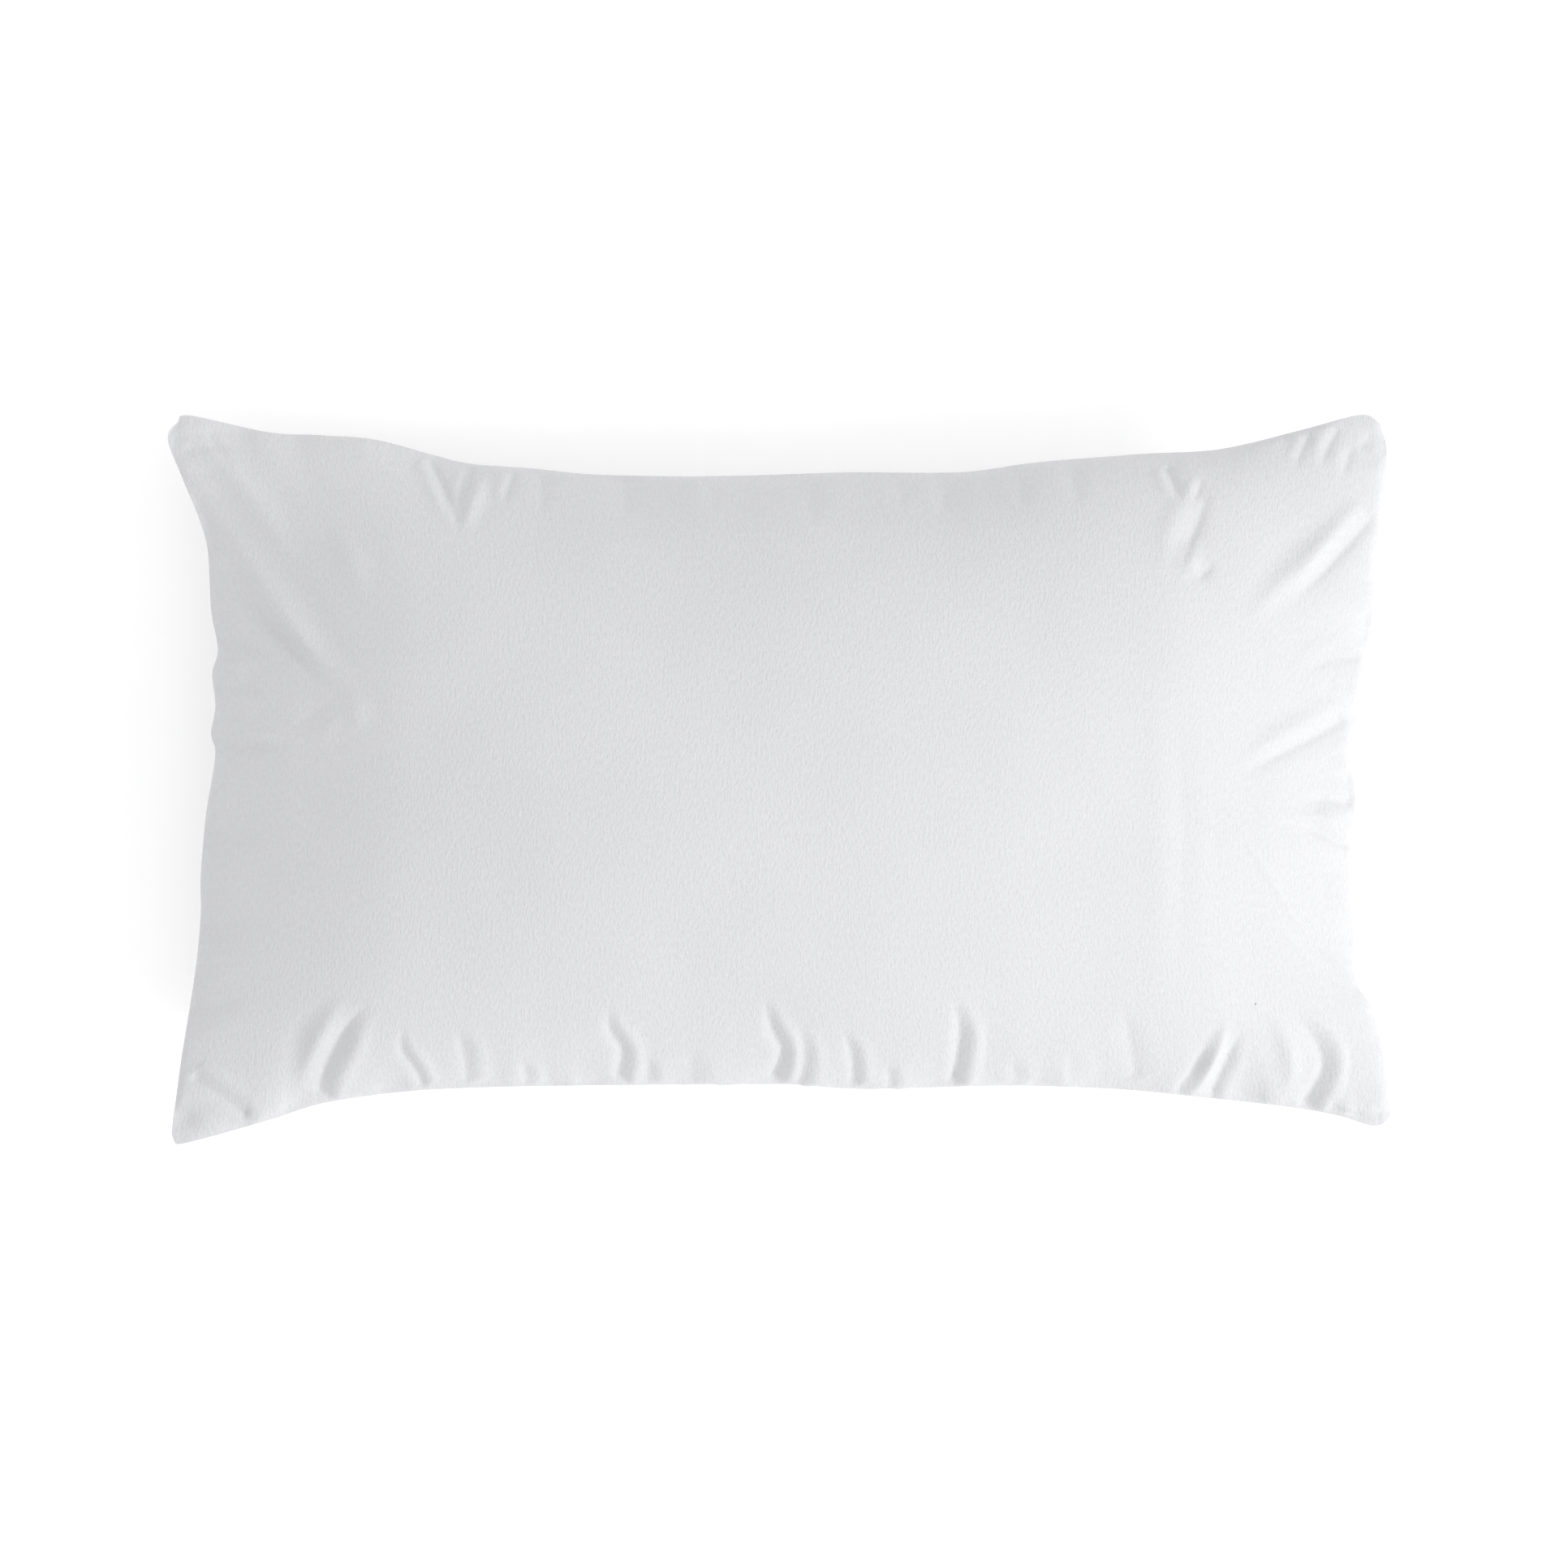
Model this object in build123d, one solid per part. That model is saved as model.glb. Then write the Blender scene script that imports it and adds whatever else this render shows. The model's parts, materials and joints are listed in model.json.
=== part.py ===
from build123d import *
import math
import os

# A bed pillow lying on its back: a zipped cover round a filled inner pillow.
# X runs along its length, Y across its width and Z up. The origin is on the surface that it
# lies on, under its middle. All sizes are in millimetres.

# the filled pillow, lying down
pillow_length = 860.0  # to where its sides would meet; the tips are rounded off inside that
pillow_width = 514.0
seam_height = 84.0  # the plane of the edge seam, above the surface
crown_rise = 104.0  # top of the crown, above the edge seam
back_hang = 97.0  # how far the back would hang below the seam with nothing under it

# its outline: sides drawn in between the corners
long_side_pull = 41.0
short_side_pull = 30.0
long_side_straight = 440.0
short_side_straight = 120.0
flare_power = 1.8
corner_softness = 0.004  # share of the rise at which the corners are rounded off

# its swell from the edge to the crown
swell_power = 2.6
swell_sharpness = 0.8
crown_level = 0.985
section_levels = (0.0, 0.08, 0.25, 0.45, 0.65, 0.82, 0.93)
back_shares = (0.09, 0.29, 0.52, 0.75, 0.94)  # of the way down to the flat
corner_points = 10  # on each quarter of an outline
corner_crowding = 0.6

# cloth and seams
cover_cloth = 1.2
ticking_cloth = 0.8
cover_allowance = 8.0
ticking_allowance = 8.0
overlock_bead = 1.0
overlock_bite = 2.5
layer_gap = 1.6
fill_gap = 3.0  # from the inner pillow's seam thread in to the fill

# the opening where the inner pillow was filled, in its right-hand seam
closing_length = 110.0
closing_stitch_inset = 2.4
stitch_row_width = 0.6

# the zip, in the back panel under the bottom seam
zip_length = 400.0
zip_below_seam = 15.0  # down the back panel from the seam to the middle of the chain
zip_depth = 5.0  # from the outside of the cloth to the middle of the chain
zip_slot = 2.8
chain_half_width = 2.4
chain_thickness = 1.8
chain_parting = 0.8
tooth_pitch = 2.5
tooth_gap = 1.0
tooth_depth = 1.2
tape_width = 6.2
tape_thickness = 0.6
tape_tail = 8.0
hem_width = 2.8
stop_length = 3.0

# its slider
slider_length = 9.0
slider_half_width = 4.1
slider_plate = 1.0
slider_gap = 0.2
slider_divider = 0.5
divider_length = 3.0
slider_lip = 0.7
crown_length = 5.0
crown_thickness = 1.6
hinge_out = 2.4  # from the outside of the cloth to the pull tab's pin
pin_radius = 0.7
pin_clearance = 0.08
tab_length = 24.0
tab_width = 6.4
tab_thickness = 1.4
tab_side_gap = 0.3
tab_arm = 1.2

far = 60.0  # longer than any cut is deep


def flare(along, straight, reach):
    """0 on the straight middle of a side, growing to 1 at its corner."""
    past = max(0.0, abs(along) - straight / 2) / (reach - straight / 2)
    return past**flare_power


def half_length_at(y, inset):
    drawn = short_side_pull * (1 - flare(y, short_side_straight, pillow_width / 2))
    return pillow_length / 2 - drawn - inset


def half_width_at(x, inset):
    drawn = long_side_pull * (1 - flare(x, long_side_straight, pillow_length / 2))
    return pillow_width / 2 - drawn - inset


def swell(x, y, inset):
    """0 at the edge of the outline, 1 at its middle."""
    u = abs(x) / half_length_at(y, inset)
    v = abs(y) / half_width_at(x, inset)
    if u >= 1 or v >= 1:
        return 0.0
    return ((1 - u**swell_power) * (1 - v**swell_power)) ** swell_sharpness


def corner_curve(level, inset):
    """Points on a level of the swell, from the right-hand side's middle to the top's middle."""
    lowest = corner_softness + (1 - corner_softness) * level
    points = []
    for i in range(corner_points + 1):
        turn = math.pi / 2 * i / corner_points
        turn += corner_crowding * math.sin(4 * turn) / 4
        dx = math.cos(turn) * pillow_length / 2
        dy = math.sin(turn) * pillow_width / 2
        inside = 0.0
        outside = 1.5
        for _ in range(40):
            middle = (inside + outside) / 2
            if swell(dx * middle, dy * middle, inset) > lowest:
                inside = middle
            else:
                outside = middle
        points.append((dx * inside, dy * inside))
    return points


def outline(level, inset, z):
    """The closed curve on which the swell reaches a level, drawn at height z."""
    quarter = corner_curve(level, inset)
    edges = []
    for sx, sy in ((1, 1), (-1, 1), (-1, -1), (1, -1)):
        points = [Vector(sx * x, sy * y, z) for x, y in quarter]
        tangents = [Vector(0, sy, 0), Vector(-sx, 0, 0)]
        if sx * sy < 0:
            points = points[::-1]
            tangents = [-t for t in tangents[::-1]]
        edges.append(Edge.make_spline(points, tangents=tangents))
    return Wire(edges)


def front_sections(inset, thinner, first_level):
    """Curves up the pillow above its seam plane, with its outline and its rise taken in."""
    rise = crown_rise - thinner
    levels = [first_level] + [c for c in section_levels if c > first_level + 0.02] + [crown_level]
    return [outline(c, inset, seam_height + rise * c) for c in levels]


def back_sections(inset, thinner, first_level):
    """Curves down the pillow below its seam plane, to the flat that it lies on."""
    hang = back_hang - thinner
    resting = (seam_height - thinner) / hang
    levels = [first_level] + [resting * share for share in back_shares] + [resting]
    return [outline(c, inset, seam_height - hang * c) for c in levels]


def skin(sections):
    """The curved side through a list of sections, and a flat cap on the last of them."""
    side = [f for f in Solid.make_loft(sections).faces() if f.geom_type != GeomType.PLANE]
    return side + [Face(sections[-1])]


def flat_ring(outer_wire, inner_wire):
    return Face(outer_wire, [inner_wire])


def upright_wall(wire_below, wire_above):
    sides = Solid.make_loft([wire_below, wire_above], ruled=True).faces()
    return [f for f in sides if abs(f.normal_at().Z) < 0.5]


def panel(sections_for, inset, thinner, cloth, allowance, up):
    """Half of a casing: a skin of cloth with its seam allowance turned inside."""
    depth = (crown_rise if up > 0 else back_hang) - thinner - cloth
    outside = sections_for(inset, thinner, 0.0)
    inside = sections_for(inset + cloth, thinner + cloth, cloth / depth)
    raw_edge = inset + cloth + allowance
    raw_at_seam = outline(0.0, raw_edge, seam_height)
    raw_above = outline(0.0, raw_edge, seam_height + up * cloth)
    faces = skin(outside) + skin(inside)
    faces.append(flat_ring(outside[0], raw_at_seam))
    faces.append(flat_ring(inside[0], raw_above))
    faces += upright_wall(raw_at_seam, raw_above)
    return Solid(Shell(faces))


def casing(inset, thinner, cloth, allowance):
    """A front and a back panel, meeting at the seam plane."""
    front = panel(front_sections, inset, thinner, cloth, allowance, 1)
    back = panel(back_sections, inset, thinner, cloth, allowance, -1)
    return front, back


def back_form():
    """The whole space that the cover's back panel goes round."""
    sections = back_sections(0.0, 0.0, 0.0)
    return Solid(Shell(skin(sections) + [Face(sections[0])]))


def filling(inset, thinner):
    """The whole pillow's form, taken in all round."""
    above = front_sections(inset, thinner, 0.0)
    below = back_sections(inset, thinner, 0.0)
    return Solid(Shell(skin(above) + skin(below)))


def overlock(inset, cloth, allowance):
    """The thread wrapped over the raw edges of a pair of seam allowances, all round."""
    raw_edge = inset + cloth + allowance
    bite = raw_edge - overlock_bite
    outer = raw_edge + overlock_bead
    top = cloth + overlock_bead
    profile = [(bite, cloth), (bite, top), (outer, top), (outer, -top), (bite, -top), (bite, -cloth)]
    profile += [(raw_edge, -cloth), (raw_edge, cloth)]
    wires = [outline(0.0, at, seam_height + up) for at, up in profile]
    faces = []
    for i, (at, up) in enumerate(profile):
        following = (i + 1) % len(profile)
        if profile[following][0] == at:
            faces += upright_wall(wires[i], wires[following])
        elif at < profile[following][0]:
            faces.append(flat_ring(wires[i], wires[following]))
        else:
            faces.append(flat_ring(wires[following], wires[i]))
    return Solid(Shell(faces))


# ------------------------------------------------------------------ the zip's own frame
# Everything on the zip is drawn flat, with the chain along X, the tapes along Y and the outside
# of the cover towards Z, and is then laid against the back panel under the bottom seam.


def back_slope():
    """The lean of the back panel under the bottom seam, in degrees from the horizontal."""
    down = zip_below_seam * 1.5
    half_width = half_width_at(0, 0)
    inside = 0.0
    outside = half_width
    for _ in range(40):
        middle = (inside + outside) / 2
        fall = back_hang * swell(0, half_width - middle, 0)
        if math.hypot(middle, fall) < down:
            inside = middle
        else:
            outside = middle
    return math.degrees(math.acos(inside / down))


def zip_place():
    """Where the zip's own frame lies on the pillow."""
    slope = math.radians(back_slope())
    down_y = math.cos(slope)
    down_z = -math.sin(slope)
    out_y = -math.sin(slope)
    out_z = -math.cos(slope)
    y = -half_width_at(0, 0) + zip_below_seam * down_y - zip_depth * out_y
    z = seam_height + zip_below_seam * down_z - zip_depth * out_z
    return Plane(origin=(0, y, z), x_dir=(1, 0, 0), z_dir=(0, out_y, out_z)).location


def block(x_low, x_high, y_low, y_high, z_low, z_high):
    size = (x_high - x_low, y_high - y_low, z_high - z_low)
    middle = ((x_low + x_high) / 2, (y_low + y_high) / 2, (z_low + z_high) / 2)
    return Pos(*middle) * Box(*size)


half_zip = zip_length / 2
tape_outer = chain_half_width + tape_width
cloth_level = zip_depth  # the outside of the cover, in the zip's frame


def zip_slot_cut():
    """The slit in the back panel that the slider's crown reaches through."""
    return block(-half_zip, half_zip, -zip_slot / 2, zip_slot / 2, -far / 4, far / 4)


def zip_hem(side):
    """The fold of the back panel that one tape is sewn to."""
    inner = tape_outer - hem_width
    low, high = sorted((side * inner, side * tape_outer))
    reach = half_zip + tape_tail
    return block(-reach, reach, low, high, tape_thickness / 2, far / 4)


def zip_tape(side):
    low, high = sorted((side * chain_half_width, side * tape_outer))
    reach = half_zip + tape_tail
    return block(-reach, reach, low, high, -tape_thickness / 2, tape_thickness / 2)


def zip_coil(side):
    """One half of the chain: a strip with a row of teeth towards the other half."""
    root = side * (chain_parting / 2 + tooth_depth)
    tip = side * chain_parting / 2
    back = side * chain_half_width
    start = -half_zip + stop_length
    count = int((zip_length - 2 * stop_length) / tooth_pitch)
    shift = tooth_pitch / 2 if side > 0 else 0.0
    points = [(start, back), (start, root)]
    for i in range(count - 1):
        tooth = start + shift + i * tooth_pitch + tooth_gap / 2
        points += [(tooth, root), (tooth, tip)]
        points += [(tooth + tooth_pitch - tooth_gap, tip), (tooth + tooth_pitch - tooth_gap, root)]
    end = start + count * tooth_pitch
    points += [(end, root), (end, back)]
    profile = Face(Wire.make_polygon([Vector(x, y, -chain_thickness / 2) for x, y in points], close=True))
    return Solid.extrude(profile, Vector(0, 0, chain_thickness))


def zip_stitches():
    """Two rows of stitching, on the inside of the tapes."""
    rows = []
    middle = tape_outer - hem_width / 2
    for side in (-1, 1):
        low = side * middle - stitch_row_width / 2
        under = -tape_thickness / 2 - stitch_row_width
        rows.append(block(-half_zip, half_zip, low, low + stitch_row_width, under, -tape_thickness / 2))
    return rows


def zip_end_stops():
    """Two stops where the zip is closed, one on the end of each half of the chain."""
    stops = []
    for side in (-1, 1):
        low, high = sorted((side * chain_parting / 2, side * chain_half_width))
        stops.append(block(half_zip - stop_length, half_zip, low, high,
                           -chain_thickness / 2, chain_thickness / 2))
    return stops


def zip_bottom_stop():
    """One stop across both halves, where the zip ends when it is open."""
    reach = chain_half_width
    half_thick = chain_thickness / 2
    return block(-half_zip, -half_zip + stop_length, -reach, reach, -half_thick, half_thick)


slider_inside = chain_thickness / 2 + slider_gap
slider_face = slider_inside + slider_plate
hinge_level = cloth_level + hinge_out
slider_home = half_zip - stop_length - slider_length / 2 - 1.0


def zip_slider():
    """Two plates over the chain, joined by the divider, with lips that hold the tapes in."""
    ends = (slider_home - slider_length / 2, slider_home + slider_length / 2)
    width = slider_half_width
    body = block(*ends, -width, width, slider_inside, slider_face)
    body += block(*ends, -width, width, -slider_face, -slider_inside)
    divider_end = ends[1] - 0.5
    divider_half = slider_divider / 2
    body += block(divider_end - divider_length, divider_end, -divider_half, divider_half,
                  -slider_inside, slider_inside)
    lip_level = tape_thickness / 2 + slider_gap
    for side in (-1, 1):
        low, high = sorted((side * (width - slider_lip), side * width))
        body += block(*ends, low, high, lip_level, slider_inside)
        body += block(*ends, low, high, -slider_inside, -lip_level)
    half_crown = crown_thickness / 2
    crown_ends = (slider_home - crown_length / 2, slider_home + crown_length / 2)
    crown = block(*crown_ends, -half_crown, half_crown, slider_face, hinge_level)
    crown += Pos(slider_home, 0, hinge_level) * Rot(90, 0, 0) * Cylinder(crown_length / 2, crown_thickness)
    crown -= Pos(slider_home, 0, hinge_level) * Rot(90, 0, 0) * Cylinder(pin_radius + pin_clearance, far)
    return body + crown


def zip_pull_tab():
    """A flat tab with two arms and a pin through the slider's crown."""
    inner = crown_thickness / 2 + tab_side_gap
    outer = inner + tab_arm
    half = tab_thickness / 2
    shoulder = slider_home - crown_length / 2 - 1.0
    end = slider_home - tab_length
    tab = block(end, shoulder, -tab_width / 2, tab_width / 2, hinge_level - half, hinge_level + half)
    tab = tab.fillet(tab_width * 0.45, tab.edges().filter_by(Axis.Z).group_by(Axis.X)[0])
    hole = Pos(end + tab_width / 2, 0, hinge_level) * Cylinder(tab_width / 5, far)
    tab -= hole
    for side in (-1, 1):
        low, high = sorted((side * inner, side * outer))
        tab += block(shoulder, slider_home, low, high, hinge_level - half, hinge_level + half)
        tab += Pos(slider_home, (low + high) / 2, hinge_level) * Rot(90, 0, 0) * Cylinder(half, tab_arm)
    tab += Pos(slider_home, 0, hinge_level) * Rot(90, 0, 0) * Cylinder(pin_radius, 2 * outer)
    return tab


# ------------------------------------------------------------------ the whole pillow


def cover():
    front, back = casing(0.0, 0.0, cover_cloth, cover_allowance)
    form = back_form()
    place = zip_place()
    for side in (-1, 1):
        back += (place * zip_hem(side)) & form
    back -= place * zip_slot_cut()
    return {
        "cover_front_panel": front,
        "cover_back_panel": back,
        "cover_seam_thread": overlock(0.0, cover_cloth, cover_allowance),
    }


def zip_pieces():
    place = zip_place()
    nodes = {
        "zip_tape_upper": [zip_tape(1)],
        "zip_tape_lower": [zip_tape(-1)],
        "zip_coil_upper": [zip_coil(1)],
        "zip_coil_lower": [zip_coil(-1)],
        "zip_stitching": zip_stitches(),
        "zip_end_stops": zip_end_stops(),
        "zip_bottom_stop": [zip_bottom_stop()],
        "zip_slider": [zip_slider()],
        "zip_pull_tab": [zip_pull_tab()],
    }
    return {name: [place * piece for piece in pieces] for name, pieces in nodes.items()}


inner_inset = cover_cloth + cover_allowance + overlock_bead + layer_gap
inner_thinner = cover_cloth + layer_gap
fill_inset = inner_inset + ticking_cloth + ticking_allowance + overlock_bead + fill_gap
fill_thinner = inner_thinner + ticking_cloth + layer_gap


def closing_stitches():
    """A row of thread on each side of the inner pillow's seam allowances, where it was sewn shut."""
    x = half_length_at(0, inner_inset + ticking_cloth + closing_stitch_inset) - stitch_row_width / 2
    rows = []
    for side in (-1, 1):
        z = seam_height + side * (ticking_cloth + stitch_row_width / 2)
        rows.append(Pos(x, 0, z) * Box(stitch_row_width, closing_length, stitch_row_width))
    return rows


def inner_pillow():
    front, back = casing(inner_inset, inner_thinner, ticking_cloth, ticking_allowance)
    return {
        "inner_front_panel": front,
        "inner_back_panel": back,
        "inner_seam_thread": overlock(inner_inset, ticking_cloth, ticking_allowance),
        "inner_closing_stitch": closing_stitches(),
        "fibre_fill": filling(fill_inset, fill_thinner),
    }


def main():
    os.makedirs("parts", exist_ok=True)
    nodes = {}
    nodes.update(cover())
    nodes.update(inner_pillow())
    nodes.update(zip_pieces())
    for name, shape in nodes.items():
        if isinstance(shape, list):
            shape = Compound(children=shape) if len(shape) > 1 else shape[0]
        export_step(shape, "parts/" + name + ".step")
        print(name, round(shape.volume), shape.is_valid)


main()
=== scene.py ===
import bpy
import json
import math
import numpy as np
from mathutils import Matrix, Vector, noise


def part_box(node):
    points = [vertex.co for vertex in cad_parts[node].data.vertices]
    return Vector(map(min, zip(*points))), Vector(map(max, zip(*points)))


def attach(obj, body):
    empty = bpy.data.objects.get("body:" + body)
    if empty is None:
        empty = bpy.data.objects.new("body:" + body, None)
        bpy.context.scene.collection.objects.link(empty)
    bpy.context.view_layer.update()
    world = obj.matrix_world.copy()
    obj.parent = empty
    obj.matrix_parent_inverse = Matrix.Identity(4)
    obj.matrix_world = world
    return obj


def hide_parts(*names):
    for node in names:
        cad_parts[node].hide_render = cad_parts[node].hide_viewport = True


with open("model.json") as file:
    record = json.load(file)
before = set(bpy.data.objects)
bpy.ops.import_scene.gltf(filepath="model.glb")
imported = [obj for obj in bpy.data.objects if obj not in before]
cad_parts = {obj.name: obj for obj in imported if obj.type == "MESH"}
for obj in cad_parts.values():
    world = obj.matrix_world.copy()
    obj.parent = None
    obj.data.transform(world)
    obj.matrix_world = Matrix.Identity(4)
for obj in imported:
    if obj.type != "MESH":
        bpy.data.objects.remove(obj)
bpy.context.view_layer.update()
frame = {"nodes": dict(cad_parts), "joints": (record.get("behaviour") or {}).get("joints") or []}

MM = 0.001

# ---------------------------------------------------------------- the pillow's outline, in mm
# Seen from above, with the zipped seam towards -Y. Each side runs from tip to tip.
BOTTOM_SIDE = [(-421, -250), (-413, -253), (-355, -237), (-316, -225), (-259, -217), (-203, -214),
               (-146, -213), (-62, -212), (-5, -211.5), (51, -215), (80, -215), (164, -213), (238, -215.5),
               (294, -221), (356, -228), (390, -234), (413, -241), (421, -239)]
TOP_SIDE = [(-420, 247), (-411, 254), (-355, 242), (-320, 240), (-282, 237), (-240, 226), (-214, 220),
            (-175, 217), (-118, 212), (-33, 211.5), (51, 214), (125, 214), (181, 221), (249, 226.5),
            (306, 230), (362, 243), (405, 254), (419, 248)]
LEFT_SIDE = [(-421, -250), (-422, -243), (-415, -191), (-406, -135), (-402, -95), (-402, -67), (-398, -22),
             (-392, 17), (-395, 32), (-392, 51), (-394, 74), (-390, 91), (-395, 119), (-397, 159),
             (-403, 181), (-415, 210), (-425, 236), (-420, 247)]
RIGHT_SIDE = [(421, -239), (426, -231), (421, -191), (413, -158), (403, -141), (400.5, -107), (399, -50),
              (401.5, -11), (397, 17), (400.5, 35), (407, 80), (414.5, 119), (414, 148), (418.5, 176),
              (424, 227), (419, 248)]

# ---------------------------------------------------------------- how it is gridded and filled, in mm
PATTERN_LENGTH = 905.0  # the UV map's span, 8 percent more than the cloth over its crown, and 4 across
PATTERN_WIDTH = 516.0
MIDDLE_LENGTH = 810  # across the drawn-in middle
MIDDLE_WIDTH = 430
WAVE_REACH = 14  # how far a seam's small waves run into the panel
CELLS_LONG = 232
CELLS_WIDE = 136
SEAM_LEVEL = 84.0
CROWN_RISE = 99.0
BACK_HANG = 97.0
SWELL_POWER = 2.4
SWELL_SHARPNESS = 0.72
END_FLAT = 0.38
GATHER_FROM = 70.0
GATHER_TO = 130.0
EXTRA_CLOTH = 0.12
SETTLING_FRAMES = 12
LEAST_HEIGHT = 0.6  # of the back above the table


def smooth_path(points, count):
    """Points evenly spaced along a smooth curve through the given ones."""
    p = np.array(points, float)
    ends = np.vstack([2 * p[0] - p[1], p, 2 * p[-1] - p[-2]])
    fine = []
    for i in range(len(p) - 1):
        a, b, c, d = ends[i:i + 4]
        for t in np.linspace(0, 1, 24, endpoint=False):
            fine.append(0.5 * (2 * b + (c - a) * t + (2 * a - 5 * b + 4 * c - d) * t**2
                               + (3 * b - a - 3 * c + d) * t**3))
    fine.append(p[-1])
    fine = np.array(fine)
    run = np.concatenate([[0], np.cumsum(np.linalg.norm(np.diff(fine, axis=0), axis=1))])
    at = np.linspace(0, run[-1], count)
    return np.stack([np.interp(at, run, fine[:, k]) for k in range(2)], axis=1)


def evened(path, times):
    """The same side without its small waves."""
    p = path.copy()
    for _ in range(times):
        p[1:-1] = 0.5 * p[1:-1] + 0.25 * (p[:-2] + p[2:])
    return p


def pillow_plan():
    """The grid of the cloth seen from above. The sides' small waves die out inside the seam."""
    sides = [smooth_path(BOTTOM_SIDE, CELLS_LONG + 1), smooth_path(TOP_SIDE, CELLS_LONG + 1),
             smooth_path(LEFT_SIDE, CELLS_WIDE + 1), smooth_path(RIGHT_SIDE, CELLS_WIDE + 1)]
    bottom, top, left, right = (evened(side, 240) for side in sides)
    waves = [side - even for side, even in zip(sides, (bottom, top, left, right))]
    u = np.linspace(0, 1, CELLS_LONG + 1)[None, :, None]
    v = np.linspace(0, 1, CELLS_WIDE + 1)[:, None, None]
    across = (1 - v) * bottom[None] + v * top[None]
    along = (1 - u) * left[:, None] + u * right[:, None]
    corners = ((1 - u) * (1 - v) * bottom[0] + u * (1 - v) * bottom[-1]
               + (1 - u) * v * top[0] + u * v * top[-1])
    plan = across + along - corners
    plan += (waves[0][None] * np.exp(-MIDDLE_WIDTH * v / WAVE_REACH)
             + waves[1][None] * np.exp(-MIDDLE_WIDTH * (1 - v) / WAVE_REACH))
    plan += (waves[2][:, None] * np.exp(-MIDDLE_LENGTH * u / WAVE_REACH)
             + waves[3][:, None] * np.exp(-MIDDLE_LENGTH * (1 - u) / WAVE_REACH))
    return plan


def swell():
    """0 at the seam, 1 at the crown. The two ends start flatter, as cloth does beyond its filling."""
    u = np.linspace(-1, 1, CELLS_LONG + 1)[None, :]
    v = np.linspace(-1, 1, CELLS_WIDE + 1)[:, None]
    filled = np.clip((1 - abs(u)) / END_FLAT, 0, 1)
    filled = 0.74 + 0.26 * filled * filled * (3 - 2 * filled)
    return filled * ((1 - abs(u)**SWELL_POWER) * (1 - abs(v)**SWELL_POWER))**SWELL_SHARPNESS


def starting_forms():
    """The front's and the back's grids of points, in mm, before the cloth settles."""
    plan = pillow_plan()
    lift = swell()
    front = np.dstack([plan, SEAM_LEVEL + CROWN_RISE * lift])
    under = SEAM_LEVEL - BACK_HANG * lift
    rest = 0.5 * (under + np.sqrt(under**2 + 30.0))
    return front, np.dstack([plan, rest])


# ---------------------------------------------------------------- meshes from grids of points

def grid_numbers(rows, cols):
    """Vertex numbers of a front and a back grid that share their rim."""
    front = np.arange(rows * cols).reshape(rows, cols)
    back = front.copy()
    inner = back[1:-1, 1:-1]
    inner[:] = rows * cols + np.arange(inner.size).reshape(inner.shape)
    return front, back


def grid_faces(numbers, turned):
    a, b = numbers[:-1, :-1].ravel(), numbers[:-1, 1:].ravel()
    c, d = numbers[1:, 1:].ravel(), numbers[1:, :-1].ravel()
    return np.stack([a, d, c, b] if turned else [a, b, c, d], axis=1)


def add_mesh(name, points, faces):
    mesh = bpy.data.meshes.new(name)
    mesh.from_pydata((points * MM).tolist(), [], faces.tolist())
    mesh.update()
    obj = bpy.data.objects.new(name, mesh)
    bpy.context.collection.objects.link(obj)
    return obj


def closed_pillow(name, front, back):
    """One closed skin from a front and a back grid with the same rim."""
    rows, cols = front.shape[:2]
    front_numbers, back_numbers = grid_numbers(rows, cols)
    points = np.vstack([front.reshape(-1, 3), back[1:-1, 1:-1].reshape(-1, 3)])
    faces = np.vstack([grid_faces(front_numbers, False), grid_faces(back_numbers, True)])
    return add_mesh(name, points, faces)


def points_of(obj):
    out = np.empty(len(obj.data.vertices) * 3)
    obj.data.vertices.foreach_get("co", out)
    return out.reshape(-1, 3)


# ---------------------------------------------------------------- settling the cloth

def settle(front, back):
    """Lets the cloth buckle under pressure where the seams gather it. The crown is held loosely."""
    rows, cols = front.shape[:2]
    blank = closed_pillow("pillow_blank", front, back)
    count = len(blank.data.vertices)
    to_seam = np.minimum.reduce(rim_distance(front))
    to_seam = np.concatenate([to_seam.ravel(), to_seam[1:-1, 1:-1].ravel()])
    slack = np.clip((GATHER_TO - to_seam) / (GATHER_TO - GATHER_FROM), 0, 1)
    held = np.where(to_seam < 1e-6, 1.0, 0.5 * (1 - slack))
    gathered = blank.vertex_groups.new(name="gathered")
    seam = blank.vertex_groups.new(name="held")
    for i in range(count):
        if slack[i] > 0:
            gathered.add([i], float(slack[i]), "REPLACE")
        if held[i] > 0:
            seam.add([i], float(held[i]), "REPLACE")
    cloth = blank.modifiers.new("settling", "CLOTH")
    s = cloth.settings
    s.quality = 5
    s.mass = 0.3
    s.tension_stiffness = 25
    s.compression_stiffness = 25
    s.shear_stiffness = 6
    s.bending_stiffness = 0.6
    s.vertex_group_mass = "held"
    s.pin_stiffness = 2.0
    s.vertex_group_shrink = "gathered"
    s.shrink_min = 0.0
    s.shrink_max = -EXTRA_CLOTH
    s.use_pressure = True
    s.uniform_pressure_force = 2.0
    s.effector_weights.gravity = 0.0
    cloth.collision_settings.use_self_collision = False
    for step in range(1, SETTLING_FRAMES + 1):
        bpy.context.scene.frame_set(step)
    graph = bpy.context.evaluated_depsgraph_get()
    settled = points_of(blank.evaluated_get(graph)) / MM
    bpy.data.objects.remove(blank)
    new_front = settled[:rows * cols].reshape(rows, cols, 3)
    new_back = new_front.copy()
    new_back[1:-1, 1:-1] = settled[rows * cols:].reshape(rows - 2, cols - 2, 3)
    return new_front, new_back


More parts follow.
